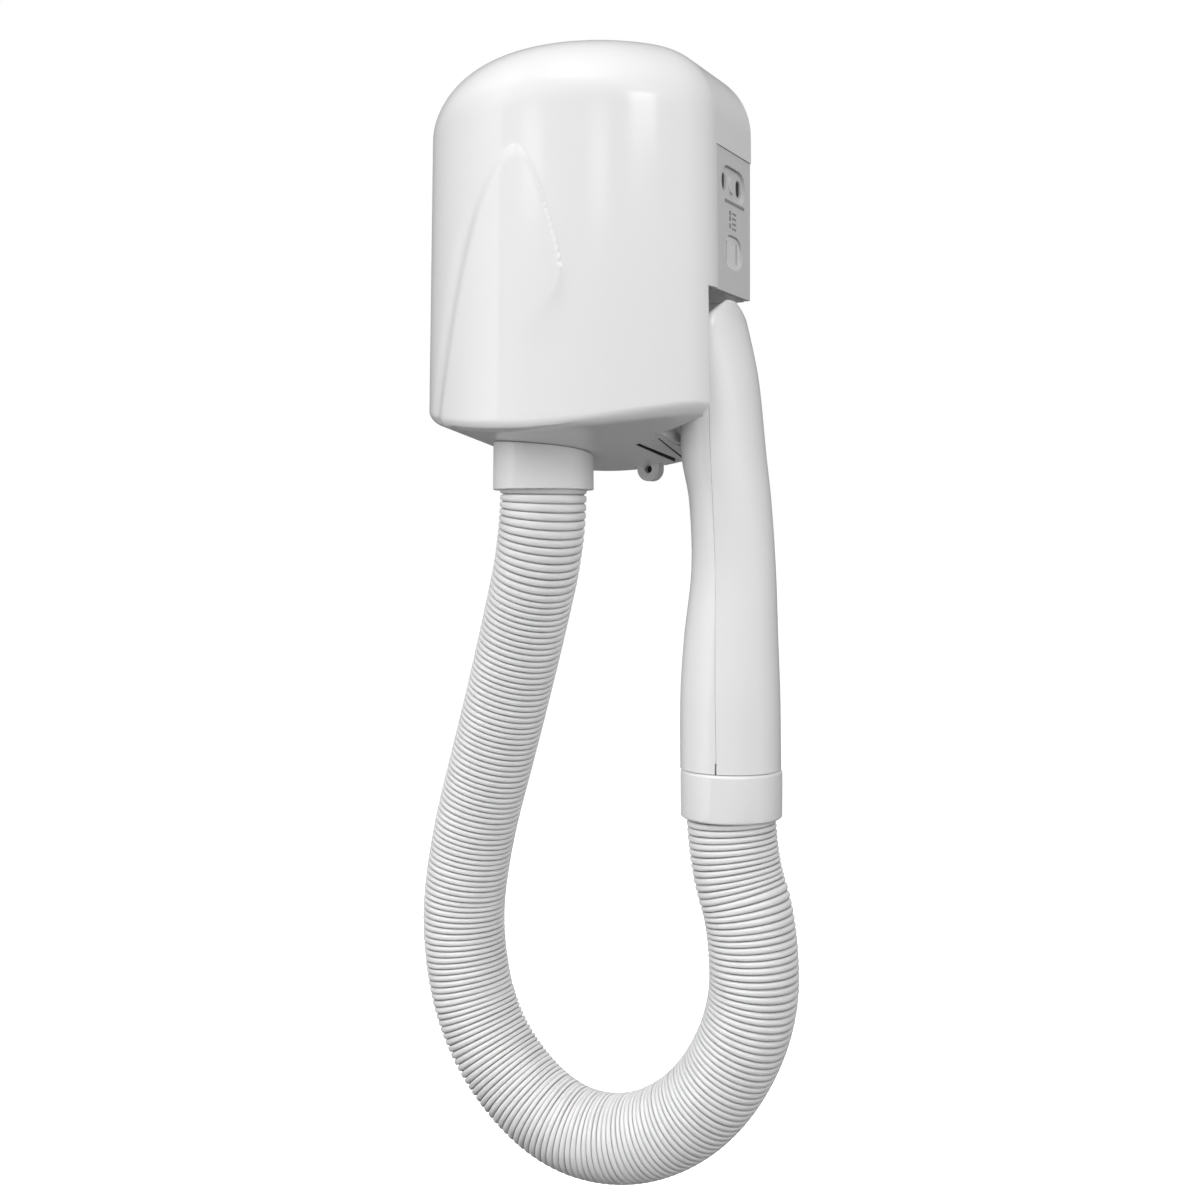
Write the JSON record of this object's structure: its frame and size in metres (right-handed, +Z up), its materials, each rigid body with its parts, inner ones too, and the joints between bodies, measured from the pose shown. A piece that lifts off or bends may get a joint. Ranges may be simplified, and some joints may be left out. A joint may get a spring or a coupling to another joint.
{
  "type": "wall-mounted hose hair dryer",
  "caption": "Wall hair dryer: rounded housing with blower and heater, ribbed hose hanging in a U, tapered handset docked at the side below a shaver socket panel.",
  "frame": {"origin": "centre of the base plate's back face, on the wall", "axes": "+X right towards the docked handset, +Y into the wall, +Z up"},
  "size_m": [0.205, 0.101, 0.5553],
  "materials": {
    "white_gloss_plastic": "glossy moulded ABS",
    "white_satin_plastic": "satin moulded ABS",
    "pale_grey_plastic": "fine spark-eroded texture",
    "hose_vinyl": "ribbed flexible vinyl",
    "natural_plastic": "unpainted nylon",
    "black_plastic": "satin",
    "zinc_steel": "zinc plated",
    "spring_steel": "drawn wire",
    "core_steel": "varnished laminations",
    "copper_winding": "enamelled copper wire",
    "brass_strip": "stamped brass",
    "heater_metal": "thin rolled sheet",
    "heater_wire": "oxidised resistance wire",
    "mica_board": "pressed mica"
  },
  "bodies": {
    "housing": {"base_plate": "white_satin_plastic", "front_cover": "white_gloss_plastic", "recess_liner": "white_satin_plastic", "dock_spigot": "white_satin_plastic", "switch_bracket": "zinc_steel", "microswitch": "black_plastic", "plunger_spring": "spring_steel", "socket_panel": "pale_grey_plastic", "upper_socket": "pale_grey_plastic", "lower_socket": "white_satin_plastic", "socket_contacts": "brass_strip", "transformer_core": "core_steel", "transformer_winding": "copper_winding", "blower_back": "natural_plastic", "blower_front": "natural_plastic", "blower_screws": "zinc_steel", "motor_can": "zinc_steel", "suppressor": "black_plastic", "heater_tube": "heater_metal", "heater_cross": "mica_board", "heater_coil": "heater_wire", "thermostat": "heater_metal", "thermal_fuse": "brass_strip", "outlet_neck": "white_satin_plastic", "terminal_block": "natural_plastic", "terminal_screws": "brass_strip", "hose_cuff_upper": "white_satin_plastic", "hose": "hose_vinyl"},
    "handset": {"handset_shell_inner": "white_gloss_plastic", "handset_shell_outer": "white_gloss_plastic", "handset_tail": "white_satin_plastic", "outlet_grille": "natural_plastic", "handset_screws": "zinc_steel"},
    "swivel_cuff": {"hose_cuff_lower": "white_satin_plastic"},
    "rotor": {"impeller": "black_plastic", "motor_shaft": "spring_steel"},
    "plunger": {"dock_plunger": "white_satin_plastic"}
  },
  "joints": [
    {"name": "handset_pull_off", "type": "slide", "parent": "housing", "child": "handset", "axis": [1, 0, 0], "range_m": [0, 0.07], "deforming": ["hose"]},
    {"name": "cuff_swivel", "type": "hinge", "parent": "handset", "child": "swivel_cuff", "pos_m": [0.076, -0.028, -0.258], "axis": [0, 0, 1], "continuous": true},
    {"name": "rotor_spin", "type": "hinge", "parent": "housing", "child": "rotor", "pos_m": [-0.015, -0.048, 0.042], "axis": [0, 1, 0], "continuous": true},
    {"name": "plunger_press", "type": "slide", "parent": "housing", "child": "plunger", "axis": [-1, 0, 0], "range_m": [0, 0.0015], "stiffness_N_per_m": 200, "deforming": ["plunger_spring"]}
  ]
}
